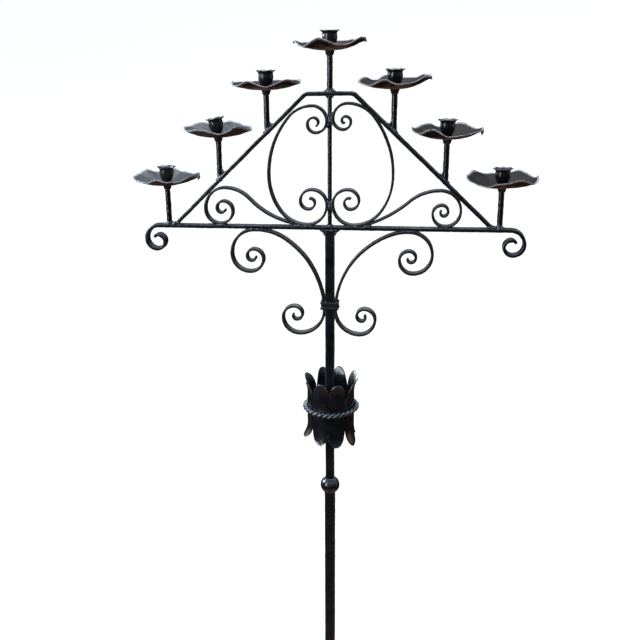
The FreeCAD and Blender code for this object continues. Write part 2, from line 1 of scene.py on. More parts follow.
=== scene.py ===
"""Looks for a seven-light wrought-iron candle rack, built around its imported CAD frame.

Lengths are millimetres until a mesh is made. +Z is up, +X runs along the crossbar, -Y is the front.
"""
import math

import bmesh
import bpy
from mathutils import Matrix, Vector, noise


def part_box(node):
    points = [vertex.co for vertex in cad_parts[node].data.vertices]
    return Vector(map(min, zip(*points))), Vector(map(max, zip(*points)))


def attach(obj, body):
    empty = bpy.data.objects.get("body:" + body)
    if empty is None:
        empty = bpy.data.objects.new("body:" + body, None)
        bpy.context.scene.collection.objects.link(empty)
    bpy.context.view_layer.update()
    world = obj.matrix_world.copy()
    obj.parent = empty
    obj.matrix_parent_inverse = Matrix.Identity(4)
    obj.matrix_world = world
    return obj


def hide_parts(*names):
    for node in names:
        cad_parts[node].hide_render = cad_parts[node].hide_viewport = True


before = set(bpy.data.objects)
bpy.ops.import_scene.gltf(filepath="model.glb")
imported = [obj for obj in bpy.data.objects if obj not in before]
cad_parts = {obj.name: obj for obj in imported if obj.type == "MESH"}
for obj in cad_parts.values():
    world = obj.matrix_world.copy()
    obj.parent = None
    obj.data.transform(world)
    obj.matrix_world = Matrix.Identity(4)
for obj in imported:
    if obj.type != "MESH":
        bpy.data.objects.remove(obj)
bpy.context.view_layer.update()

MM = 0.001
SCROLL = 3.8          # flat bar of the lyre and side scrolls
BRACKET = 4.6         # flat bar of the scrolls under the crossbar
GAP = 0.1             # between pieces that are welded
COAT = 0.3            # paint and scale that thicken every bar, on each side
ROD = 3.2             # radius of the rod in the middle of the lyre
ROD_EXTRA = 0.35      # scale that thickens the rod more than COAT does
STEM = 4.75           # radius of the round bar under each pan
SPACING = 2.2         # between rings of points along a bar
BAR_CORNER = 1.2      # radius of the crossbar's and the arch bar's edges


def span(node):
    low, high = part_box(node)
    return low / MM, high / MM


def middle(node):
    low, high = span(node)
    return (low + high) / 2


BAR_TOP = span("centre_rod")[0].z
POST_TOP = span("upper_post")[1].z
BAR = BAR_TOP - POST_TOP
CROSSBAR = (BAR_TOP + POST_TOP) / 2
DEPTH = span("arch_bar")[1].y * 2
FACE = DEPTH / 2      # front and back of the flat bars
POST = span("upper_post")[1].x * 2
BASE_POST = span("lower_post")[1].x * 2
ARCH = span("arch_bar")[1].z - BAR / 2
ARCH_SHOULDER = 41    # half the flat top of the arch bar
ARCH_FOOT = 281       # from the middle to where the arch bar meets the crossbar
ARCH_SLOPE = math.atan2(ARCH - CROSSBAR - BAR / 2, ARCH_FOOT - ARCH_SHOULDER)


# ---- surface marks
def dents(place, size, seed):
    """Hammer marks: shallow rounded facets that meet in soft ridges. About -1 in a facet, 0 on a ridge."""
    nearest = noise.voronoi(place / size + Vector((seed, 0, 0)))[0][0]
    return min((nearest / 0.6) ** 2, 1.2) - 1


def waves(place, size, seed):
    return noise.noise(place / size + Vector((0, seed, 0)))


# ---- making pieces
def piece(name, points, faces, wear_and_glint, finish, nodes=(), thickness=0, smooth=0):
    """A shown piece out of points in millimetres; it rides on the only body."""
    mesh = bpy.data.meshes.new(name)
    mesh.from_pydata([Vector(point) * MM for point in points], [], faces)
    # per-point edge marks: rubbed edges and painted glints
    marks = mesh.attributes.new("wear_and_glint", "FLOAT", "POINT")
    marks.data.foreach_set("value", wear_and_glint)
    work = bmesh.new()
    work.from_mesh(mesh)
    bmesh.ops.recalc_face_normals(work, faces=work.faces)
    work.to_mesh(mesh)
    work.free()
    mesh.shade_smooth()
    thing = bpy.data.objects.new(name, mesh)
    bpy.context.collection.objects.link(thing)
    mesh.materials.append(finish)
    if thickness:
        shell = thing.modifiers.new("thickness", "SOLIDIFY")
        shell.thickness = thickness * MM
        shell.offset = 0
    if smooth:
        rounding = thing.modifiers.new("rounding", "SUBSURF")
        rounding.levels = smooth
        rounding.render_levels = smooth
    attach(thing, "root")
    if nodes:
        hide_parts(*nodes)
    return thing


class Shape:
    """Points, faces and edge marks of one piece while it is put together: rubbed edges and painted glints."""

    def __init__(self):
        self.points = []
        self.faces = []
        self.wear_and_glint = []

    def add_rings(self, rings, wear_and_glint_lists, closed=False, capped=True, tip_wear_and_glint=0.3):
        """Join rings of equally many points into a skin; wear_and_glint_lists holds the edge marks, for
        rubbed edges and painted glints, of each ring.
        """
        first = len(self.points)
        count = len(rings[0])
        for ring, wear_and_glint in zip(rings, wear_and_glint_lists):
            self.points += ring
            self.wear_and_glint += wear_and_glint
        pairs = len(rings) if closed else len(rings) - 1
        for row in range(pairs):
            low = first + row * count
            high = first + (row + 1) % len(rings) * count
            for step in range(count):
                after = (step + 1) % count
                self.faces.append((low + step, low + after, high + after, high + step))
        if capped and not closed:
            for ring, start in ((rings[0], first), (rings[-1], first + (len(rings) - 1) * count)):
                self.points.append(sum(ring, Vector()) / count)
                self.wear_and_glint.append(tip_wear_and_glint)
                tip = len(self.points) - 1
                self.faces += [(start + step, start + (step + 1) % count, tip) for step in range(count)]

    def finish(self, name, material, nodes=(), slot="bar_iron", thickness=0):
        return piece(name, self.points, self.faces, self.wear_and_glint, material, nodes, thickness)


def disc_faces(rings, count):
    """Faces of a disc: a fan round its first point, then rings of count points."""
    faces = [(0, 1 + step, 1 + (step + 1) % count) for step in range(count)]
    for ring in range(rings - 1):
        inner, outer = 1 + ring * count, 1 + (ring + 1) * count
        for step in range(count):
            after = (step + 1) % count
            faces.append((inner + step, outer + step, outer + after, inner + after))
    return faces


def spoke(angle):
    return Vector((math.cos(angle), math.sin(angle), 0))


# ---- bars
def coil(radius, ratio, quarters, side=1):
    """Bends of a scroll's end: quarter turns, each tighter than the last."""
    steps = []
    while quarters > 0:
        steps.append((radius, side * 90 * min(quarters, 1)))
        radius *= ratio
        quarters -= 1
    return steps


def trace(start, heading, steps):
    """Stations (x, z, angle) along straights (length, 0) and bends (radius, turn)."""
    x, z = start
    angle = math.radians(heading)
    stations = [(x, z, angle)]
    for reach, turn in steps:
        turn = math.radians(turn)
        length = abs(reach * turn) if turn else reach
        count = max(2, round(length / SPACING), round(abs(turn) / math.radians(9)))
        part = turn / count
        chord = 2 * reach * math.sin(abs(part) / 2) if turn else length / count
        for _ in range(count):
            angle += part / 2
            x += chord * math.cos(angle)
            z += chord * math.sin(angle)
            angle += part / 2
            stations.append((x, z, angle))
    return stations


def joined(back, ahead):
    """One run out of two that leave the same point in opposite directions."""
    return [(x, z, angle + math.pi) for x, z, angle in reversed(back)][:-1] + ahead


def section(thickness, depth, corner):
    """Rounded rectangle as (across, deep, across normal, deep normal, edge mark for rubbing and painted
    glint).
    """
    pitch = 2.4
    half_across, half_deep = thickness / 2 - corner, depth / 2 - corner
    outline = []
    for quarter, (across, deep) in enumerate(((1, -1), (1, 1), (-1, 1), (-1, -1))):
        for step, mark in enumerate((0.6, 1.0, 0.6)):
            angle = math.radians(90 * quarter - 90 + 45 * step)
            normal = (math.cos(angle), math.sin(angle))
            outline.append((across * half_across + corner * normal[0],
                            deep * half_deep + corner * normal[1], *normal, mark))
        run = 2 * (half_deep if quarter % 2 == 0 else half_across)
        count = max(1, round(run / pitch))
        ahead = (-math.sin(angle), math.cos(angle))
        last = outline[-1]
        for step in range(1, count):
            along = run * step / count
            near = max(0.0, 0.3 - min(along, run - along) / 4)
            outline.append((last[0] + ahead[0] * along, last[1] + ahead[1] * along, *normal, near))
    return outline


def round_section(radius, count):
    turns = [math.tau * step / count for step in range(count)]
    wear_and_glint = 0.15
    return [(radius * math.cos(turn), radius * math.sin(turn), math.cos(turn), math.sin(turn), wear_and_glint)
            for turn in turns]


def no_taper(along):
    return 1, 1


class Forging:
    """How a bar is worked: size and depth of its hammer marks, and how far it wanders."""

    def __init__(self, size, depth, wander, seed):
        self.size = size
        self.depth = depth
        self.wander = wander
        self.seed = seed

    def offset(self, place):
        worked = self.depth * dents(place, self.size, self.seed)
        return worked + self.depth * 0.6 * waves(place, self.size * 0.4, self.seed)


def sweep(shape, stations, outline, forging, flip=1, taper=no_taper, base=0.0, turn=None):
    """Skin of a bar along its stations, with rounded ends. taper(0..1) scales (across, deep)."""
    half = max(item[0] for item in outline)
    first, last = stations[0], stations[-1]
    rings = []
    rounding = ((0.95, 0.55), (0.6, 0.82), (0.2, 0.95))
    plan = [(*first, -half * 0.6 * push, scale, 0) for push, scale in rounding]
    final = len(stations) - 1
    plan += [(*station, 0, 1, number / final) for number, station in enumerate(stations)]
    plan += [(*last, half * 0.6 * push, scale, 1) for push, scale in reversed(rounding)]
    for x, z, angle, push, scale, along in plan:
        wide, deep = taper(along)
        centre = Vector((x + push * math.cos(angle), 0, z + push * math.sin(angle) + base))
        wander = Vector((waves(centre, 45, forging.seed + 3), waves(centre, 45, forging.seed + 7),
                         waves(centre, 45, forging.seed + 11))) * forging.wander
        across = Vector((-math.sin(angle), 0, math.cos(angle)))
        ring = []
        for step_across, step_deep, normal_across, normal_deep, _ in outline:
            shrink = (1 - scale) * half
            place = centre + across * step_across * wide * scale
            place.y += step_deep * deep - math.copysign(min(shrink, abs(step_deep * deep)), step_deep)
            normal = across * normal_across + Vector((0, normal_deep, 0))
            place += normal * (forging.offset(place) + COAT) * scale + wander
            place.x *= flip
            ring.append(turn @ place if turn else place)
        rings.append(ring)
    wear_and_glint = [item[4] for item in outline]
    shape.add_rings(rings, [wear_and_glint] * len(rings))


def straight(length):
    return [(length, 0)]


def upright(shape, x, bottom, top, outline, forging):
    sweep(shape, trace((x, 0), 90, straight(top - bottom)), outline, forging, base=bottom)


# ---- turned and beaten pieces
def lathe(shape, profile, centre, count, wave):
    """Turn (radius, height, edge mark) points about the vertical through centre; wave moves each of them. The
    edge mark sets rubbed edges and painted glints.
    """
    rings = []
    for radius, height, _ in profile:
        ring = []
        for step in range(count):
            angle = math.tau * step / count
            place = Vector((radius * math.cos(angle), radius * math.sin(angle), height))
            ring.append(centre + wave(place, radius, height, angle))
        rings.append(ring)
    shape.add_rings(rings, [[mark] * count for _, _, mark in profile], tip_wear_and_glint=0.1)


def arc_points(centre, radius, start, end, count, mark):
    """Points (r, z, edge mark) on an arc, angles in degrees."""
    out = []
    for step in range(count + 1):
        angle = math.radians(start + (end - start) * step / count)
        out.append((centre[0] + radius * math.cos(angle), centre[1] + radius * math.sin(angle), mark))
    return out


def bead(shape, path, radius, seed, closed=False, rough=0.35, mark=0.7):
    """A weld bead: a lumpy tube along the path, with the ripples of its pool."""
    count = 10
    rings = []
    total = len(path)
    for number, place in enumerate(path):
        before = path[(number - 1) % total] if closed or number else place
        after = path[(number + 1) % total] if closed or number < total - 1 else place
        ahead = (after - before).normalized()
        side = ahead.cross(Vector((0.31, 0.2, 0.93))).normalized()
        up = side.cross(ahead)
        end = 1.0 if closed else min(1, 0.35 + 0.5 * min(number, total - 1 - number))
        ripple = 1 + 0.1 * math.sin(number * 2.1)
        ring = []
        for step in range(count):
            angle = math.tau * step / count
            outward = side * math.cos(angle) + up * math.sin(angle)
            size = radius * end * ripple * (1 + rough * waves(place + outward * radius, 3.2, seed))
            ring.append(place + outward * size)
        rings.append(ring)
    shape.add_rings(rings, [[mark] * count] * len(rings), closed)


def line(start, end):
    start, end = Vector(start), Vector(end)
    pitch = 1.1
    count = max(2, round((end - start).length / pitch))
    return [start.lerp(end, step / count) for step in range(count + 1)]


def loop(centre, radius, tilt=0.0):
    """Closed path round a bar that stands on a slope; tilt is the rise per millimetre of x."""
    count = 34
    path = []
    for step in range(count):
        angle = math.tau * step / count
        x, y = radius * math.cos(angle), radius * math.sin(angle)
        path.append(Vector(centre) + Vector((x, y, x * tilt)))
    return path


def cross_bead(shape, x, half, height, radius, seed):
    """A straight weld bead from front to back."""
    bead(shape, line((x, -half, height), (x, half, height)), radius, seed)


def level_bead(shape, x, half, y, height, radius, seed):
    """A straight weld bead along the crossbar's direction."""
    bead(shape, line((x - half, y, height), (x + half, y, height)), radius, seed)


# ---- finishes
def fill(made, values):
    """Set a shader node's inputs by name."""
    for name, value in values.items():
        made.inputs[name].default_value = value


def noise_node(tree, coordinates, scale, detail, roughness=0.55):
    made = tree.nodes.new("ShaderNodeTexNoise")
    fill(made, {"Scale": scale, "Detail": detail, "Roughness": roughness})
    tree.links.new(coordinates, made.inputs["Vector"])
    return made.outputs["Fac"]


def ramp(tree, value, low, high, to_low=0.0, to_high=1.0, kind="SMOOTHSTEP"):
    made = tree.nodes.new("ShaderNodeMapRange")
    made.interpolation_type = kind
    tree.links.new(value, made.inputs["Value"])
    fill(made, {"From Min": low, "From Max": high, "To Min": to_low, "To Max": to_high})
    return made.outputs["Result"]


def combined(tree, operation, first, second):
    """An output worked out from an output and another output or number, kept within 0 to 1."""
    made = tree.nodes.new("ShaderNodeMath")
    made.operation = operation
    made.use_clamp = True
    tree.links.new(first, made.inputs[0])
    if isinstance(second, float):
        made.inputs[1].default_value = second
    else:
        tree.links.new(second, made.inputs[1])
    return made.outputs[0]


def mixed(tree, factor, first, second):
    """Colour between two; each is a colour or an output."""
    made = tree.nodes.new("ShaderNodeMix")
    made.data_type = "RGBA"
    tree.links.new(factor, made.inputs["Factor"])
    for name, colour in (("A", first), ("B", second)):
        socket = next(item for item in made.inputs if item.name == name and item.type == "RGBA")
        if isinstance(colour, tuple):
            socket.default_value = (*colour, 1)
        else:
            tree.links.new(colour, socket)
    return next(item for item in made.outputs if item.type == "RGBA")


# top is dust with a painted sky sheen on upward faces; under is painted warm bounce light on downward faces;
# edge is rubbed edges with painted glints
def iron_paint(name, dark, blotch, edge, top, under, shine, dust_and_sheen_amount=0.6, wear_and_glint_amount=0.7,
               painted_bounce_amount=0.7, grit=0.25, coat=0.15, gloss=0.5, edge_grain=(0.42, 0.6),
               steep=(-0.15, -0.8)):
    """Black paint on beaten iron: blotches, rubbed edges with painted glints, dust with a painted sky sheen
    on tops, and painted warm bounce light on undersides.
    """
    finish = bpy.data.materials.new(name)
    finish.use_nodes = True
    tree = finish.node_tree
    shader = tree.nodes["Principled BSDF"]
    place = tree.nodes.new("ShaderNodeTexCoord").outputs["Object"]
    cloud = noise_node(tree, place, 42, 5)
    grain = noise_node(tree, place, 260, 6, 0.65)
    fine = noise_node(tree, place, 900, 4, 0.7)
    facing = tree.nodes.new("ShaderNodeSeparateXYZ")
    tree.links.new(tree.nodes.new("ShaderNodeNewGeometry").outputs["Normal"], facing.inputs[0])
    wear_and_glint_marks = tree.nodes.new("ShaderNodeAttribute")
    wear_and_glint_marks.attribute_name = "wear_and_glint"

    colour = mixed(tree, ramp(tree, cloud, 0.35, 0.7), dark, blotch)
    # painted sky sheen, with dust, on upward faces, broken up by grain
    dust_and_sheen_mask = combined(tree, "MULTIPLY", ramp(tree, facing.outputs["Z"], 0.35, 0.95, 0, dust_and_sheen_amount),
                      ramp(tree, grain, 0.3, 0.62, 0.25, 1))
    colour = mixed(tree, dust_and_sheen_mask, colour, top)
    # painted warm bounce light on downward faces
    painted_bounce_mask = combined(tree, "MULTIPLY", ramp(tree, facing.outputs["Z"], *steep, 0, painted_bounce_amount),
                        ramp(tree, cloud, 0.3, 0.65, 0.4, 1))
    colour = mixed(tree, painted_bounce_mask, colour, under)
    # rubbed edges with painted glints, where the edge marks are high
    wear_and_glint_mask = combined(tree, "MULTIPLY", ramp(tree, wear_and_glint_marks.outputs["Fac"], 0.35, 1.0, 0, wear_and_glint_amount),
                    ramp(tree, grain, *edge_grain))
    colour = mixed(tree, wear_and_glint_mask, colour, edge)
    tree.links.new(colour, shader.inputs["Base Color"])

    rough = ramp(tree, combined(tree, "ADD", grain, cloud), 0.7, 1.2, *shine)
    tree.links.new(rough, shader.inputs["Roughness"])
    bump = tree.nodes.new("ShaderNodeBump")
    fill(bump, {"Strength": grit, "Distance": 0.0006})
    relief = combined(tree, "ADD", combined(tree, "MULTIPLY", fine, 0.4), grain)
    tree.links.new(relief, bump.inputs["Height"])
    tree.links.new(bump.outputs["Normal"], shader.inputs["Normal"])
    fill(shader, {"Specular IOR Level": gloss, "Coat Weight": coat, "Coat Roughness": 0.25})
    return finish


# Each finish: base colour, blotches, rubbed edges with painted glints, dust with a painted sky sheen on tops,
# painted warm bounce light on undersides, then the roughness range.
BLACK = (0.0030, 0.0036, 0.0052)
BLUE_BLACK = (0.008, 0.010, 0.015)
BAR_PAINT = iron_paint("bar_paint", BLACK, BLUE_BLACK, (0.14, 0.155, 0.18), (0.07, 0.08, 0.095),
                       (0.030, 0.016, 0.012), (0.16, 0.36))
SCROLL_PAINT = iron_paint("scroll_paint", (0.009, 0.005, 0.0045), (0.020, 0.013, 0.011), (0.10, 0.10, 0.105),
                          (0.13, 0.127, 0.128), (0.060, 0.028, 0.020), (0.20, 0.42), dust_and_sheen_amount=0.85)
DUSTY_SHEEN_PAN = iron_paint("dusty_sheen_pan_paint", (0.006, 0.007, 0.008), (0.030, 0.032, 0.036), (0.38, 0.39, 0.42),
                       (0.065, 0.067, 0.071), (0.022, 0.013, 0.010), (0.30, 0.55), dust_and_sheen_amount=0.9,
                       wear_and_glint_amount=1.0, painted_bounce_amount=0.85, coat=0.0, gloss=0.3, edge_grain=(0.3, 0.5))
# its light brown flat undersides are painted warm bounce light
BROWN_PAN = iron_paint("brown_pan_paint", (0.004, 0.004, 0.004), (0.016, 0.011, 0.009), (0.34, 0.34, 0.35),
                       (0.020, 0.014, 0.012), (0.36, 0.23, 0.17), (0.42, 0.68), dust_and_sheen_amount=0.8,
                       wear_and_glint_amount=1.0, painted_bounce_amount=1.0, coat=0.0, gloss=0.12, edge_grain=(0.3, 0.5),
                       steep=(-0.88, -0.995))
CUP_PAINT = iron_paint("cup_paint", BLACK, (0.007, 0.009, 0.012), (0.16, 0.165, 0.18), (0.05, 0.055, 0.065),
                       (0.016, 0.009, 0.007), (0.14, 0.34), dust_and_sheen_amount=0.4, grit=0.35, coat=0.3)
LEAF_PAINT = iron_paint("leaf_paint", BLACK, (0.008, 0.011, 0.017), (0.16, 0.17, 0.20), (0.05, 0.06, 0.075),
                        (0.050, 0.026, 0.020), (0.10, 0.28), grit=0.3, coat=0.4)
# its bluish white edges are painted sparkle highlights with some rubbing, and its bluish tops a painted sky
# sheen
WELD_PAINT = iron_paint("weld_paint", BLACK, (0.014, 0.020, 0.028), (0.30, 0.37, 0.45), (0.16, 0.20, 0.26),
                        (0.016, 0.010, 0.008), (0.06, 0.20), dust_and_sheen_amount=0.8, wear_and_glint_amount=1.0, grit=0.5,
                        coat=0.8, edge_grain=(0.5, 0.62))


# ---- posts, knop and collars
def build_posts():
    posts = (("post_upper", "upper_post", POST, 1.3, 0.5, Forging(13, 0.2, 0.25, 1.5)),
             ("post_lower", "lower_post", BASE_POST, 1.6, 0, Forging(15, 0.22, 0.25, 4.5)))
    for name, node_name, width, corner, sunk, forging in posts:
        low, high = span(node_name)
        shape = Shape()
        upright(shape, 0, low.z - sunk, high.z, section(width, width, corner), forging)
        shape.finish(name, BAR_PAINT, (node_name,))


def build_knop():
    low, high = span("post_knop")
    half = (high.z - low.z) / 2
    bulge, flat = high.x, 12.5
    round_radius = ((bulge - flat) ** 2 + half ** 2) / (2 * (bulge - flat))
    reach = math.degrees(math.asin(half / round_radius))
    profile = [(0.5, -half, 0), (flat * 0.6, -half, 0)]
    profile += arc_points((bulge - round_radius, 0), round_radius, -reach, reach, 18, 0.1)
    profile += [(flat * 0.6, half, 0), (0.5, half, 0)]
    centre = middle("post_knop")

    def wave(place, radius, height, angle):
        push = 0.3 * dents(place + centre, 11, 2.5) + 0.3 * waves(place + centre, 14, 6.5)
        return place + place.normalized() * push * min(1, radius / 6)

    shape = Shape()
    lathe(shape, profile, centre, 48, wave)
    shape.finish("knop", LEAF_PAINT, ("post_knop",))


def build_knop_welds():
    low, high = span("post_knop")
    shape = Shape()
    for height, half_width in ((high.z + 0.4, POST / 2), (low.z - 0.2, BASE_POST / 2)):
        corners = [(-half_width, -half_width), (half_width, -half_width),
                   (half_width, half_width), (-half_width, half_width)]
        path = []
        for start, end in zip(corners, corners[1:] + corners[:1]):
            path += line((*start, height), (*end, height))[:-1]
        bead(shape, path, 1.3, height, closed=True)
    shape.finish("knop_welds", WELD_PAINT)


def band(shape, half_x, half_y, bottom, top, lip, seed):
    """A rectangular collar with a raised edge above and below, drawn as rings round the post."""
    height = top - bottom
    levels = [(0, -1.0), (0, lip), (0.12, lip * 1.15), (0.2, lip * 0.9), (0.27, 0.1), (0.5, 0.0),
              (0.73, 0.1), (0.8, lip * 0.9), (0.88, lip * 1.15), (1, lip), (1, -1.0)]
    rings = []
    corner = 1.4
    for share, proud in levels:
        ring = []
        for x, y, normal_x, normal_y, _ in section(2 * (half_x + proud), 2 * (half_y + proud), corner):
            place = Vector((x, y, bottom + height * share))
            place += Vector((normal_x, normal_y, 0.4)) * 0.35 * waves(place, 6, seed)
            ring.append(place)
        rings.append(ring)
    # a wider ring can have more points, so each is thinned to the smallest count
    count = min(len(ring) for ring in rings)
    even = []
    for ring in rings:
        even.append([ring[round(step * len(ring) / count) % len(ring)] for step in range(count)])
    shape.add_rings(even, [[0.4] * count] * len(even), capped=False)


def build_collars():
    lip, edge = 1.2, 0.9
    for name, seed in (("scroll_collar", 8.5), ("leg_collar", 15.5)):
        low, high = span(name)
        shape = Shape()
        band(shape, high.x - lip, high.y - lip, low.z + edge, high.z - edge, lip * 0.75, seed)
        shape.finish(name + "_band", BAR_PAINT, (name,), thickness=1.2)


# ---- crossbar, arch and rod
def build_crossbar():
    """Straight to either side of the post, then rolled under at both ends."""
    reach = 312.5
    curl = coil(24.5, 0.78, 4.7, -1)
    mirrored = [(radius, -turn) for radius, turn in curl]
    back = trace((0, 0), 180, straight(reach) + mirrored)
    stations = joined(back, trace((0, 0), 0, straight(reach) + curl))
    coiled = 0.5 * (len(stations) - 2 * reach / SPACING) / len(stations)

    def taper(along):
        """The curled ends are drawn out thinner and deeper, to a narrow tip."""
        inward = max(0.0, 1 - min(along, 1 - along) / coiled)
        point = max(0.0, (inward - 0.88) / 0.12)
        return 1 - 0.18 * inward, (1 + 0.3 * inward) * (1 - 0.75 * point)

    shape = Shape()
    sweep(shape, stations, section(BAR, DEPTH, BAR_CORNER), Forging(11, 0.3, 0.5, 21.5), taper=taper,
          base=CROSSBAR)
    shape.finish("crossbar_forged", BAR_PAINT, ("crossbar",))


def build_arch():
    """A flat top with a slope down to the crossbar on either side."""
    slope = math.degrees(ARCH_SLOPE)
    bend = 14
    corner = bend * math.tan(ARCH_SLOPE / 2)
    slant = math.hypot(ARCH - CROSSBAR - BAR / 2, ARCH_FOOT - ARCH_SHOULDER) - corner
    half_flat = ARCH_SHOULDER - corner
    right = trace((0, 0), 0, [(half_flat, 0), (bend, -slope), (slant, 0)])
    left = trace((0, 0), 180, [(half_flat, 0), (bend, slope), (slant, 0)])
    shape = Shape()
    sweep(shape, joined(left, right), section(BAR, DEPTH, BAR_CORNER), Forging(11, 0.3, 0.45, 27.5),
          base=ARCH)
    shape.finish("arch_forged", BAR_PAINT, ("arch_bar",))


def build_rod():
    low, high = span("centre_rod")
    shape = Shape()
    upright(shape, 0, low.z, high.z, round_section(ROD + ROD_EXTRA, 16), Forging(7, 0.2, 0.3, 33.5))
    shape.finish("rod_forged", BAR_PAINT, ("centre_rod",))


# ---- scrolls
LYRES = {
    # side: heel radius, heel turn, belly, flank radius, flank turn, shoulder, head coil (radius, ratio,
    # quarters), foot coil (radius, ratio, quarters)
    "left": (58.1, 54.3, 107.6, 150.7, 40.4, 54.3, (25.3, 0.75, 5.7), (27.0, 0.74, 5.1)),
    "right": (59.8, 55.3, 106.6, 161.3, 38.1, 56.7, (25.3, 0.71, 6.0), (26.2, 0.75, 5.3)),
}
SIDES = {
    # side: lowest point from the middle, heel, crown, back radius, back turn, tail radius, coil
    "left": (197.8, 26.7, 37.6, 59.9, 46.5, 150, (23.4, 0.72, 4.9)),
    "right": (200.8, 26.2, 36.0, 79.1, 40.6, 223, (21.8, 0.71, 5.6)),
}
BRACKETS = {
    # side: head radius, head turn, flank, foot, foot coil, seat, outer bend, outer coil
    "left": (91.8, 34.1, 158, 46.0, (30.3, 0.70, 5.2), 4.2, 43.4, (33.7, 0.72, 6.0)),
    "right": (92.1, 22.8, 153, 43.8, (28.9, 0.69, 5.6), 0.2, 41.5, (33.5, 0.71, 6.0)),
}
FLIPS = {"left": -1, "right": 1}


def scroll_taper(along):
    """Drawn out a little thinner and narrower towards both ends."""
    end = min(along, 1 - along)
    return 1 - 0.2 * max(0.0, 1 - end / 0.16), 1 - 0.12 * max(0.0, 1 - end / 0.1)


def build_scroll(kind, side, runs, thickness, seed):
    shape = Shape()
    outline = section(thickness, DEPTH - 0.6, 0.9)
    sweep(shape, joined(*runs), outline, Forging(9, 0.2, 0.4, seed), FLIPS[side], scroll_taper, CROSSBAR)
    shape.finish(f"{kind}_{side}", SCROLL_PAINT, (f"{kind}_scroll_{side}",), "scroll_iron")


def lyre_runs(heel, heel_turn, belly, flank, flank_turn, shoulder, head, foot):
    """A lyre scroll from the crossbar: inward to its foot's coil, and out and up to its head's."""
    outward = [(heel, heel_turn), (belly, 90 - heel_turn), (flank, flank_turn)]
    outward += [(shoulder, 90 - flank_turn)] + coil(*head)
    foot_bend = -trace((0, 0), 0, outward[:5])[-1][0]
    start = (ROD + SCROLL / 2 + GAP + foot_bend, BAR / 2 + SCROLL / 2 + GAP)
    return trace(start, 180, [(foot_bend, -90)] + coil(*foot, -1)), trace(start, 0, outward)


def side_runs(reach, heel, crown, back, back_turn, tail, curl):
    """The tail bends back just enough to end on the crossbar."""
    rest = BAR / 2 + SCROLL / 2 + GAP
    start = (reach, rest)
    outward = [(heel, 90), (crown, 90), (back, back_turn)]
    drop = trace(start, 0, outward)[-1][1] - rest
    level = math.degrees(math.acos(min(1, math.cos(math.radians(back_turn)) + drop / tail)))
    outward.append((tail, level - back_turn))
    return trace(start, 180, coil(*curl, -1)), trace(start, 0, outward)


def bracket_runs(head, head_turn, flank, foot, foot_curl, seat, outer, outer_curl):
    """A bracket scroll from under the crossbar: inward and down the post, and out to its own coil."""
    inward = [(head, head_turn), (flank, 90 - head_turn)]
    reach = -trace((0, 0), 180, inward)[-1][0]
    start = (POST / 2 + BRACKET / 2 + GAP + reach, -(BAR / 2 + BRACKET / 2 + GAP))
    inward += [(foot, 90)] + coil(*foot_curl)
    outward = [(seat, 0), (outer, -90)] + coil(*outer_curl, -1)
    return trace(start, 180, inward), trace(start, 0, outward)


def build_scrolls():
    for number, side in enumerate(FLIPS):
        seed = 40.5 + 9 * number
        build_scroll("lyre", side, lyre_runs(*LYRES[side]), SCROLL, seed)
        build_scroll("side", side, side_runs(*SIDES[side]), SCROLL, seed + 2)
        build_scroll("bracket", side, bracket_runs(*BRACKETS[side]), BRACKET, seed + 4)


# ---- drip pans
RIMS = {
    # pan: crests and dips of the rim, seen from the front: (degrees from the right end, height),
    # then the curl of its right and left lips in degrees, upward positive
    1: ([(0, 20.5), (35, 12), (62, 14), (76, 19), (105, 14.5), (127, 20), (155, 15), (180, 14), (210, 13),
         (234, 11.5), (251, 17), (270, 13.5), (286, 12.5), (315, 18.6), (340, 15)], -150, 20),
    2: ([(0, 12), (30, 14), (68, 20.2), (95, 15), (121, 19.7), (150, 16), (180, 18), (205, 14), (238, 17.7),
         (275, 12), (304, 20.3), (335, 13)], 75, 35),
    3: ([(0, 12), (30, 13), (65, 12), (113, 11.5), (150, 12), (180, 12), (213, 10), (240, 16.4), (270, 9.5),
         (305, 17.8), (335, 12)], 80, 95),
    4: ([(0, 17), (40, 15), (79, 13), (110, 12), (140, 12), (172, 16), (190, 16.5), (222, 8.5), (252, 19),
         (290, 10), (330, 19.5)], -70, -70),
    5: ([(0, 20), (35, 20), (56, 14.5), (78, 14.5), (106, 18), (124, 11.5), (148, 16.6), (180, 14), (205, 11),
         (225, 8.5), (255, 17.7), (275, 11.5), (295, 12.8), (325, 20)], -75, -70),
    6: ([(0, 19.5), (35, 13), (68, 19.7), (103, 13.5), (124, 19.5), (155, 15), (180, 17.5), (221, 13.5),
         (247, 20.5), (273, 11), (294, 12), (330, 15)], -140, 35),
    7: ([(0, 18), (30, 13), (62, 20), (92, 14), (120, 14.5), (145, 21), (165, 16), (180, 17.5), (215, 13),
         (245, 9.5), (270, 15), (300, 19), (330, 12)], 60, 30),
}
PAN_RADIUS = 62
PAN_FLAT = 9          # radius of the flat middle
DISH = 14.3           # rim height of the plain dish under the waves
DISH_CURVE = 1.9      # the larger, the later the dish rises towards its rim
RIM_LIFT = 1.25       # how much higher and deeper the real waves are than their seen edge
RIM_SPREAD = 2.4      # the smaller, the further the waves of the rim run inward
LIP = 0.14            # share of the radius that is bent over in a lip
LONG_LIP = 0.22       # the same where a lip is rolled right over
VIEW_X = 186          # the rims' angles are given as seen from here along the crossbar
VIEW_Y = 1615         # and from this far in front of it


def around(marks, angle):
    """Smooth closed curve through (degrees, value) marks."""
    count = len(marks)
    for number, (start, low) in enumerate(marks):
        end, high = marks[(number + 1) % count]
        width = (end - start) % 360
        if (angle - start) % 360 < width:
            share = (angle - start) % 360 / width
            return low + (high - low) * (0.5 - 0.5 * math.cos(math.pi * share))
    return marks[0][1]


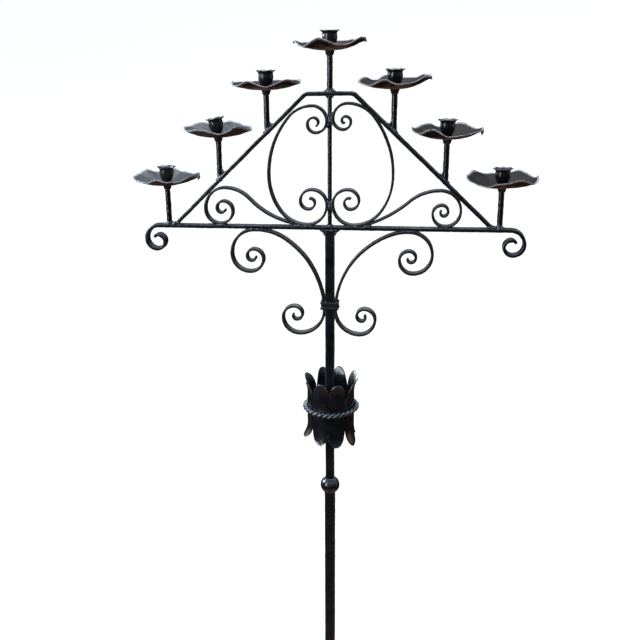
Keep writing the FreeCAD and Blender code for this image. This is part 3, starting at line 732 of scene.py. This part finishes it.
def near_angle(angle, target, width):
    away = abs((angle - target + 180) % 360 - 180)
    return max(0.0, 1 - (away / width) ** 2) ** 2 if away < width else 0.0


def pan_rise(radius):
    return max(0.0, (radius - PAN_FLAT) / (PAN_RADIUS - PAN_FLAT))


def pan_height(radius, rim):
    """Height of the dish at a radius, on a spoke where the rim is this high."""
    rise = pan_rise(radius)
    return DISH * rise ** DISH_CURVE + (rim - DISH) * rise ** RIM_SPREAD


def rolled_lip(reach, rim, bent, rolled, curl):
    """Radius and height of a point a share (rolled) into a lip that is bent over by curl."""
    bend = curl * rolled
    pivot = reach * (1 - bent)
    slope = math.atan2(DISH * DISH_CURVE, PAN_RADIUS - PAN_FLAT)
    turn_radius = reach * bent * rolled / bend
    step_out = turn_radius * (math.sin(slope + bend) - math.sin(slope))
    step_up = turn_radius * (math.cos(slope) - math.cos(slope + bend))
    return pivot + step_out, pan_height(pivot, rim) + step_up


def pan_point(number, seen, share):
    """Radius, height and rise (0 to 1) at an angle seen from the right end and a share of the radius."""
    marks, right_curl, left_curl = RIMS[number]
    right, left = near_angle(seen, 0, 20), near_angle(seen, 180, 20)
    rim = DISH + RIM_LIFT * (around(marks, seen) - DISH)
    reach = PAN_RADIUS * (1 - 0.012 * (1 - right - left) + 0.006 * math.sin(math.radians(seen * 5)))
    radius = reach * share
    height = pan_height(radius, rim)
    curl = math.radians(right * right_curl + left * left_curl)
    bent = LONG_LIP if right and right_curl < -100 else LIP
    rolled = max(0.0, share - 1 + bent) / bent
    if rolled and abs(curl) > 0.01:
        lip_radius, lip_height = rolled_lip(reach, rim, bent, rolled, curl)
        radius += (lip_radius - radius) * (right + left)
        height += (lip_height - height) * (right + left)
    return radius, height, pan_rise(reach * share)


def pan_middle(number, lift=0.0):
    """The point on a pan's axis this far above its underside."""
    low, high = span(f"drip_pan_{number}")
    return Vector(((low.x + high.x) / 2, 0, low.z + lift))


def build_pan(number):
    """A beaten dish with a waved rim whose two ends are pinched into lips."""
    centre = pan_middle(number, 0.8)
    turned = math.degrees(math.atan2(VIEW_X - centre.x, VIEW_Y))
    seed = 60.5 + number
    count, rings = 132, 26
    points = [Vector((centre.x, 0, centre.z))]
    wear_and_glint = [0.0]
    for ring in range(1, rings + 1):
        for step in range(count):
            seen = 360 * step / count
            radius, height, rise = pan_point(number, seen, ring / rings)
            angle = math.radians(seen + turned)
            place = Vector((radius * math.cos(angle), radius * math.sin(angle), height)) + centre
            place.z += rise * (0.8 * dents(place, 11, seed) + 0.7 * waves(place, 17, seed)) + 0.2 * rise
            points.append(place)
            # the two outer rings get full edge marks: a rubbed rim with a painted rim highlight
            wear_and_glint.append(1.0 if ring >= rings - 1 else 0.12)
    paint = DUSTY_SHEEN_PAN if number < 3 else BROWN_PAN
    piece(f"pan_{number}", points, disc_faces(rings, count), wear_and_glint, paint,
          (f"drip_pan_{number}",), thickness=1.7, smooth=1)


# ---- cups, bosses and stems
def cup_profile():
    """Tulip cup from the middle of its foot, up the outside, over the rim and down the bore."""
    bowl = [(0.4, 0, 0), (4.2, 0, 0.2), (5.0, 0.5, 0.4), (6.2, 1.9, 0.1), (7.6, 3.8, 0.1),
            (9.0, 6.0, 0.1), (10.4, 8.6, 0.1), (11.6, 11.4, 0.1), (12.4, 14.2, 0.05), (12.8, 17, 0.05),
            (12.9, 19.8, 0.05), (12.7, 22.4, 0.05)]
    # the rim's high edge marks give a rubbed rim with a painted rim highlight
    rim = [(12.4, 24.4, 0.1), (12.6, 26.0, 0.2), (13.6, 27.4, 0.3), (15.0, 28.5, 0.5), (16.4, 29.3, 0.9),
           (17.0, 29.7, 1.0), (16.7, 30.1, 1.0), (15.6, 30.0, 0.6), (14.0, 29.2, 0.3), (12.6, 27.8, 0.2),
           (11.7, 26.0, 0.1)]
    bore = [(11.3, 23, 0), (11.3, 20, 0), (11.1, 17, 0), (10.6, 14.4, 0), (9.8, 12, 0), (8.4, 9.6, 0),
            (6.6, 7.4, 0), (4.5, 6, 0), (0.4, 5.6, 0)]
    return bowl + rim + bore


def build_cup(number):
    """Scalloped rim, hammered bowl; it sits and leans as its CAD cup does."""
    low, high = span(f"candle_cup_{number}")
    foot = pan_middle(number, 1.6)
    rim = Vector(((low.x + high.x) / 2, 0, high.z))
    cup_height = 28.0
    tilt = math.atan2(rim.x - foot.x, cup_height)
    lean = Matrix.Rotation(tilt, 3, "Y")
    seed = 80.5 + number
    petals = 8 if number % 2 else 7

    def wave(place, radius, height, angle):
        flare = max(0.0, min(1.0, (height - 24) / 5))
        outer = 1 if radius > 8 else 0
        bloom = flare * math.cos(petals * angle + number)
        place = place + spoke(angle) * (0.6 * bloom)
        place.z += 0.4 * bloom
        worked = dents(place + foot, 7, seed) * 0.3 + waves(place + foot, 9, seed) * 0.45
        return lean @ (place + spoke(angle) * worked * outer)

    shape = Shape()
    lift = 5 * math.sin(abs(tilt))
    lathe(shape, cup_profile(), foot + Vector((0, 0, lift)), 56, wave)
    shape.finish(f"cup_{number}", CUP_PAINT, (f"candle_cup_{number}",), "cup_iron")


BOSS = 8.5            # height of the flared boss between a stem and its pan


def on_slope(x):
    return ARCH_SHOULDER < abs(x) < ARCH_FOOT


def slope_at(x):
    """Rise per millimetre of x of the bar under the stem at x."""
    return -math.tan(ARCH_SLOPE) * math.copysign(1, x) if on_slope(x) else 0.0


def stem_root(x):
    """Height of the bar's upper side under the stem at x."""
    if abs(x) > ARCH_FOOT:
        return BAR_TOP
    fall = max(0.0, abs(x) - ARCH_SHOULDER) * math.tan(ARCH_SLOPE)
    return ARCH - fall + BAR / 2 / math.cos(ARCH_SLOPE if on_slope(x) else 0)


def build_stem(number):
    """Hammered round bar, from the bar it stands on into its boss."""
    top = pan_middle(number)
    root = stem_root(top.x) - STEM * abs(slope_at(top.x))
    shape = Shape()
    upright(shape, top.x, root, top.z - BOSS + 1, round_section(STEM - 0.1, 20),
            Forging(8, 0.42, 0.3, 100.5 + number))
    shape.finish(f"stem_{number}", BAR_PAINT, (f"candle_stem_{number}",))


def build_boss(number):
    top = pan_middle(number)
    profile = [(0.4, -BOSS, 0), (4.9, -BOSS, 0.1), (6.1, -BOSS * 0.9, 0.3), (6.8, -BOSS * 0.65, 0.2),
               (7.4, -BOSS * 0.35, 0.2), (8.0, -1.6, 0.5), (8.0, -0.6, 0.6), (7.4, -0.1, 0.3),
               (0.4, -0.1, 0)]

    def wave(place, radius, height, angle):
        return place + spoke(angle) * 0.5 * waves(place + top, 5, 110.5 + number) * min(1, radius / 4)

    shape = Shape()
    lathe(shape, profile, top, 28, wave)
    made = shape.finish(f"boss_{number}", BAR_PAINT)
    if number == 1:
        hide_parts("stem_bosses")


def build_stem_weld(number):
    """A bead round the stem's root, and on a slope a heap of beads on its uphill side."""
    x = pan_middle(number).x
    root, tilt = stem_root(x), slope_at(x)
    centre = Vector((x, 0, root + 0.6))
    shape = Shape()
    bead(shape, loop(centre, STEM + 0.8, tilt), 2.1, 120.5 + number, closed=True)
    if on_slope(x):
        uphill = -math.copysign(1, x)
        for lift, out in ((0.8, 9.4), (1.6, 7.4), (3.4, 6.2), (5.8, 5.2), (8.2, 4.5)):
            foot = root + out * abs(tilt) + lift
            cross_bead(shape, x + uphill * out, 3.4, foot, 1.9, 125.5 + number + lift)
    else:
        bead(shape, loop(centre + Vector((0, 0, 2.6)), STEM + 0.2), 1.6, 122.5 + number, closed=True)
        level_bead(shape, x, 11, 0, root + 0.3, 2.2, 123.5 + number)
    shape.finish(f"stem_weld_{number}", WELD_PAINT)


# ---- leaf sleeve
LEAVES = {
    # leaf: (reach, flare, width of the tip, sideways lean in degrees) upward, then downward
    1: ((60, 22, 1.0, 0), (66, 20, 0.96, -4)),
    2: ((62, 30, 0.8, 16), (70, 26, 0.9, -4)),
    3: ((64, 34, 0.84, 14), (60, 18, 0.9, 0)),
    4: ((64, 24, 0.9, 10), (60, 30, 0.95, 0)),
    5: ((63, 25, 0.86, 3), (61, 28, 0.95, 0)),
    6: ((61, 44, 0.9, 2), (59, 34, 0.9, 0)),
    7: ((56, 24, 0.9, 4), (58, 46, 0.85, 0)),
    8: ((61, 20, 1.0, 6), (63, 14, 0.95, 3)),
}
LEAF_RADIUS = 43.6    # of the sleeve at its tie
SLEEVE_SHIFT = 1.6    # the leaves and their tie sit a little to the right of the post
LEAF_STRAIGHT = 34    # how far from the tie a leaf starts to flare
LEAF_HALF = 17.1      # half a leaf's width


def leaf_point(share, side, ends, centre_angle, height, end, seed):
    """A point on a leaf: share 0 at the tie, 1 at the tip; side -1 to 1 across."""
    reach, flare, width, lean = ends
    along = reach * math.sin(share * math.pi / 2)
    full = 24 if end > 0 else 36      # how far from the tie a leaf keeps its full width
    past = max(0.0, along - full) / (reach - full)
    half = LEAF_HALF * (1 - (1 - width) * min(1, past * 1.6)) * max(0.0, 1 - past ** 2.2) ** 0.5
    bent = max(0.0, along - LEAF_STRAIGHT) / (reach - LEAF_STRAIGHT)
    turn = math.radians(flare) * bent
    arc = (reach - LEAF_STRAIGHT) / math.radians(flare)
    out = arc * (1 - math.cos(turn))
    up = min(along, LEAF_STRAIGHT) + arc * math.sin(turn)
    radius = LEAF_RADIUS + out + bent * side * side
    angle = centre_angle + side * half / LEAF_RADIUS + math.radians(lean) * (along / reach) ** 1.6
    place = Vector((SLEEVE_SHIFT + radius * math.cos(angle), radius * math.sin(angle), height + end * up))
    worked = 0.3 * dents(place, 12, seed) + 0.7 * waves(place, 24, seed) * (0.3 + share)
    return place + spoke(angle) * worked


def build_leaves():
    low, high = span("sleeve_leaf_1")
    height = (low.z + high.z) / 2
    rows, columns = 26, 14
    for number, ends in LEAVES.items():
        centre_angle = math.radians(-67.5 + 45 * (number - 1))
        points, wear_and_glint, faces = [], [], []
        for row in range(-rows, rows + 1):
            end = 1 if row > 0 else -1
            share = abs(row) / rows
            for column in range(columns + 1):
                side = 2 * column / columns - 1
                points.append(leaf_point(min(share, 0.985), side, ends[0 if row > 0 else 1],
                                         centre_angle, height, end, 130.5 + number))
                # the leaf's rims get full edge marks: rubbed edges with painted glints
                rim = share > 0.45 and column in (0, columns) or abs(row) == rows
                wear_and_glint.append(1.0 if rim else 0.1)
        width = columns + 1
        for row in range(2 * rows):
            for column in range(columns):
                start = row * width + column
                faces.append((start, start + 1, start + 1 + width, start + width))
        piece(f"leaf_{number}", points, faces, wear_and_glint, LEAF_PAINT,
              (f"sleeve_leaf_{number}",), thickness=1.9, smooth=1)


def build_tie():
    """Two strands twisted into a ring that sags in front and bulges to the right."""
    centre = middle("sleeve_tie_ring") + Vector((SLEEVE_SHIFT, 0, 0))
    ring, strand = 48.8, 2.5
    twist, turns = 2.2, 15
    count = 420
    for number in range(2):
        path = []
        for step in range(count):
            share = step / count
            angle = math.tau * share
            phase = math.tau * share * turns + math.pi * number
            sag = -1.6 * max(0.0, -math.sin(angle)) + 0.7 * math.cos(2 * angle)
            radius = ring + twist * math.cos(phase) + 0.4 * math.cos(angle * 3)
            path.append(centre + Vector((radius * math.cos(angle), radius * math.sin(angle),
                                         twist * math.sin(phase) + sag)))
        shape = Shape()
        bead(shape, path, strand, 150.5 + number, closed=True, rough=0.12, mark=0.5)
        made = shape.finish(f"tie_strand_{number + 1}", WELD_PAINT, slot="leaf_iron")
        if number == 0:
            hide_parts("sleeve_tie_ring")


# ---- legs
def build_legs():
    """Four equal legs, each from its rolled toe along the floor and up to lie against the post."""
    steps = [(12, 0), (24, -64), (90, 36), (150, -62), (118, 0)]
    thickness, depth = 8, 17
    rest = thickness / 2
    contact = BASE_POST / 2 + rest + GAP
    start = (contact - trace((0, 0), 180, steps)[-1][0], rest)
    toe = [(12, 0)] + coil(22, 0.78, 4.6)
    stations = joined(trace(start, 180, steps), trace(start, 0, toe))

    def taper(along):
        curled = max(0.0, (along - 0.72) / 0.28)
        return 1 - 0.3 * curled, 1 - 0.06 * curled

    for number in range(4):
        shape = Shape()
        quarter = Matrix.Rotation(math.pi / 2 * number, 3, "Z")
        sweep(shape, stations, section(thickness, depth, 1.4), Forging(13, 0.25, 0.0, 160.5 + number),
              taper=taper, turn=quarter)
        shape.finish(f"leg_{number + 1}", BAR_PAINT, (f"foot_leg_{number + 1}",))


# ---- welds of the frame
def lyre_contacts(side):
    """Heights above the crossbar's middle where a lyre scroll's foot and head touch the rod."""
    foot, outward = lyre_runs(*LYRES[side])
    head_height, margin = 190, 40
    head = [station for station in outward if abs(station[1] - head_height) <= margin]
    return [min(run, key=lambda station: station[0])[1] for run in (foot, head)]


def build_rod_welds():
    """Two crossing beads where each lyre scroll touches the rod, front and back."""
    shape = Shape()
    for side, flip in FLIPS.items():
        for contact, half in zip(lyre_contacts(side), (9, 11)):
            height = CROSSBAR + contact
            for y in (-FACE + 3, FACE - 3):
                path = line((flip * 3.4, y, height - half), (flip * 3.2, y, height + half))
                bead(shape, path, 2.0, height + flip + y)
                path = line((flip * 1.2, y * 1.15, height - half * 0.7), (0, y * 1.15, height + half * 0.7))
                bead(shape, path, 2.2, height + y)
    shape.finish("rod_welds", WELD_PAINT)


def build_crossbar_welds():
    """Beads where the scrolls sit on the crossbar and hang under it."""
    shape = Shape()
    for side, flip in FLIPS.items():
        lyre_start = lyre_runs(*LYRES[side])[1][0][0]
        side_start = SIDES[side][0]
        bracket_start = bracket_runs(*BRACKETS[side])[1][0][0]
        tail = side_runs(*SIDES[side])[1][-1][0]
        seats = ((lyre_start, BAR_TOP + 0.4, 10), (side_start, BAR_TOP + 0.4, 7),
                 (bracket_start, POST_TOP - 0.4, 13))
        for y in (-FACE + 0.6, FACE - 0.6):
            for x, height, half in seats:
                level_bead(shape, flip * x, half, y, height, 1.7, x + y)
            path = line((flip * (tail - 1), y, BAR_TOP + 1), (flip * (tail + 11), y, BAR_TOP + 1.4))
            bead(shape, path, 2.1, tail + y)
        cross_bead(shape, flip * (tail - 2), FACE - 1.5, BAR_TOP + 1, 1.7, tail)
    shape.finish("crossbar_welds", WELD_PAINT)


def build_post_head_weld():
    """Beads heaped in the corners between post and crossbar, and one round the rod's foot."""
    half = POST / 2
    layers = 5
    shape = Shape()
    for flip in (-1, 1):
        for layer in range(layers):
            out = half + 0.5 + layer * 1.9
            drop = POST_TOP - 0.6 - 8.5 * (1 - layer / layers) ** 2
            cross_bead(shape, flip * out, half - 1, drop, 2.3 - 0.15 * layer, out)
            cross_bead(shape, flip * out, half - 1, POST_TOP - 1, 2.0, out + 3)
    for y in (-half, half):
        level_bead(shape, 0, half, y, POST_TOP - 0.6, 1.4, y)
    bead(shape, loop((0, 0, BAR_TOP + 1), ROD + 1.2), 1.7, 5.5, closed=True)
    shape.finish("post_head_weld", WELD_PAINT)


def build_arch_welds():
    """Beads where the rod and the middle stem meet the arch bar, and at its two feet."""
    under, over = ARCH - BAR / 2, ARCH + BAR / 2
    foot = ARCH_FOOT + 2
    shape = Shape()
    bead(shape, loop((0, 0, under - 0.6), ROD + 0.6), 1.5, 7.5, closed=True)
    for flip in (-1, 1):
        for layer in range(3):
            out = ROD + 0.4 + 1.3 * layer
            cross_bead(shape, flip * out, 2.4, under - 3.6 + 1.5 * layer, 1.4, out)
            out = STEM + 0.2 + 1.6 * layer
            cross_bead(shape, flip * out, 3, over + 4.2 - 1.8 * layer, 1.5, out + 9)
        for y in (-FACE + 1, FACE - 1):
            path = line((flip * (foot - 10), y, BAR_TOP + 3.4), (flip * (foot + 5), y, BAR_TOP + 0.8))
            bead(shape, path, 2.2, y)
        cross_bead(shape, flip * (foot + 2), FACE - 2, BAR_TOP + 0.8, 1.8, foot)
    shape.finish("arch_welds", WELD_PAINT)


# ---- light, backdrop and camera
def build_backdrop():
    """A pale round floor that curves up far behind the object."""
    material = bpy.data.materials.new("backdrop_paper")
    material.use_nodes = True
    shader = material.node_tree.nodes["Principled BSDF"]
    fill(shader, {"Base Color": (0.25, 0.25, 0.25, 1), "Roughness": 0.9, "Specular IOR Level": 0.1,
                  "Emission Color": (1, 1, 1, 1), "Emission Strength": 0.86})
    rings = [(0.5 * step, 0.0) for step in range(1, 7)]
    rings += [(3 + 3 * math.sin(turn), 3 - 3 * math.cos(turn)) for turn in
              [math.radians(9 * step) for step in range(1, 11)]]
    rings += [(6, 5), (6, 7)]
    count = 64
    points = [Vector((0, 0, 0))]
    for radius, height in rings:
        for step in range(count):
            angle = math.tau * step / count
            points.append(Vector((radius * math.cos(angle), radius * math.sin(angle), height)))
    mesh = bpy.data.meshes.new("backdrop")
    mesh.from_pydata(points, [], disc_faces(len(rings), count))
    mesh.shade_smooth()
    mesh.materials.append(material)
    backdrop = bpy.data.objects.new("backdrop", mesh)
    bpy.context.collection.objects.link(backdrop)
    for ray in ("glossy", "diffuse", "shadow"):
        setattr(backdrop, "visible_" + ray, False)


def build_world():
    """Cool bright sky, pale horizon and a warm dark ground, by direction."""
    world = bpy.data.worlds.new("studio")
    bpy.context.scene.world = world
    world.use_nodes = True
    tree = world.node_tree
    background = tree.nodes["Background"]
    direction = tree.nodes.new("ShaderNodeTexCoord")
    split = tree.nodes.new("ShaderNodeSeparateXYZ")
    tree.links.new(direction.outputs["Generated"], split.inputs[0])
    height = ramp(tree, split.outputs["Z"], -1, 1, kind="LINEAR")
    colours = tree.nodes.new("ShaderNodeValToRGB")
    stops = [(0.0, (0.42, 0.25, 0.18)), (0.16, (0.20, 0.12, 0.09)), (0.30, (0.02, 0.016, 0.015)),
             (0.50, (0.02, 0.02, 0.022)), (0.58, (0.12, 0.14, 0.17)), (0.74, (0.40, 0.48, 0.58)),
             (1.0, (0.95, 1.05, 1.18))]
    steps = colours.color_ramp.elements
    steps[0].color, steps[1].color = (*stops[0][1], 1), (*stops[-1][1], 1)
    for place, colour in stops[1:-1]:
        steps.new(place).color = (*colour, 1)
    tree.links.new(height, colours.inputs["Fac"])
    tree.links.new(colours.outputs["Color"], background.inputs["Color"])


def soft_light(name, place, aim, size, power, colour):
    data = bpy.data.lights.new(name, "AREA")
    data.shape = "RECTANGLE"
    data.size, data.size_y = size
    data.energy = power
    data.color = colour
    lamp = bpy.data.objects.new(name, data)
    lamp.location = place
    lamp.rotation_euler = (Vector(aim) - Vector(place)).to_track_quat("-Z", "Y").to_euler()
    bpy.context.collection.objects.link(lamp)


def build_lights():
    soft_light("strip", (-2.0, -2.1, 1.9), (0, 0, 1.2), (0.6, 2.4), 60, (0.84, 0.92, 1.0))
    soft_light("window", (-2.9, 0.7, 2.5), (0, 0, 1.15), (1.3, 1.5), 130, (0.72, 0.86, 1.0))
    soft_light("top", (0.2, 0.7, 3.6), (0, 0, 1.3), (2.0, 1.3), 60, (0.90, 0.95, 1.0))
    soft_light("brick_right", (2.9, 0.5, 1.1), (0, 0, 1.0), (1.6, 2.0), 8, (1.0, 0.58, 0.43))
    soft_light("brick_left", (-2.9, 0.9, 0.9), (0, 0, 0.9), (1.6, 1.6), 7, (1.0, 0.60, 0.46))


def build_camera():
    data = bpy.data.cameras.new("camera")
    data.sensor_width = 36
    data.lens = 52.05
    data.shift_x, data.shift_y = 0.0625, 0.0738
    camera = bpy.data.objects.new("camera", data)
    bpy.context.collection.objects.link(camera)
    place = Matrix.Translation((0.18596, -1.61477, 1.57081))
    heading = Matrix.Rotation(math.radians(9.873), 4, "Z")
    upright_turn = Matrix.Rotation(math.pi / 2 - math.radians(20.714), 4, "X")
    roll = Matrix.Rotation(math.radians(-1.212), 4, "Z")
    camera.matrix_world = place @ heading @ upright_turn @ roll
    bpy.context.scene.camera = camera


def finish_kept_nodes():
    """CAD nodes that stay: rivets in the cups and the disc inside the sleeve."""
    for name, material in (("cup_rivets", CUP_PAINT), ("sleeve_plate", LEAF_PAINT)):
        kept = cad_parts[name]
        kept.data.materials.clear()
        kept.data.materials.append(material)


build_posts()
build_knop()
build_knop_welds()
build_collars()
build_crossbar()
build_arch()
build_rod()
build_scrolls()
for holder in range(1, 8):
    build_pan(holder)
    build_cup(holder)
    build_stem(holder)
    build_boss(holder)
    build_stem_weld(holder)
build_leaves()
build_tie()
build_legs()
build_rod_welds()
build_crossbar_welds()
build_post_head_weld()
build_arch_welds()
finish_kept_nodes()
build_backdrop()
build_world()
build_lights()
build_camera()
bpy.context.scene.view_settings.view_transform = "Standard"
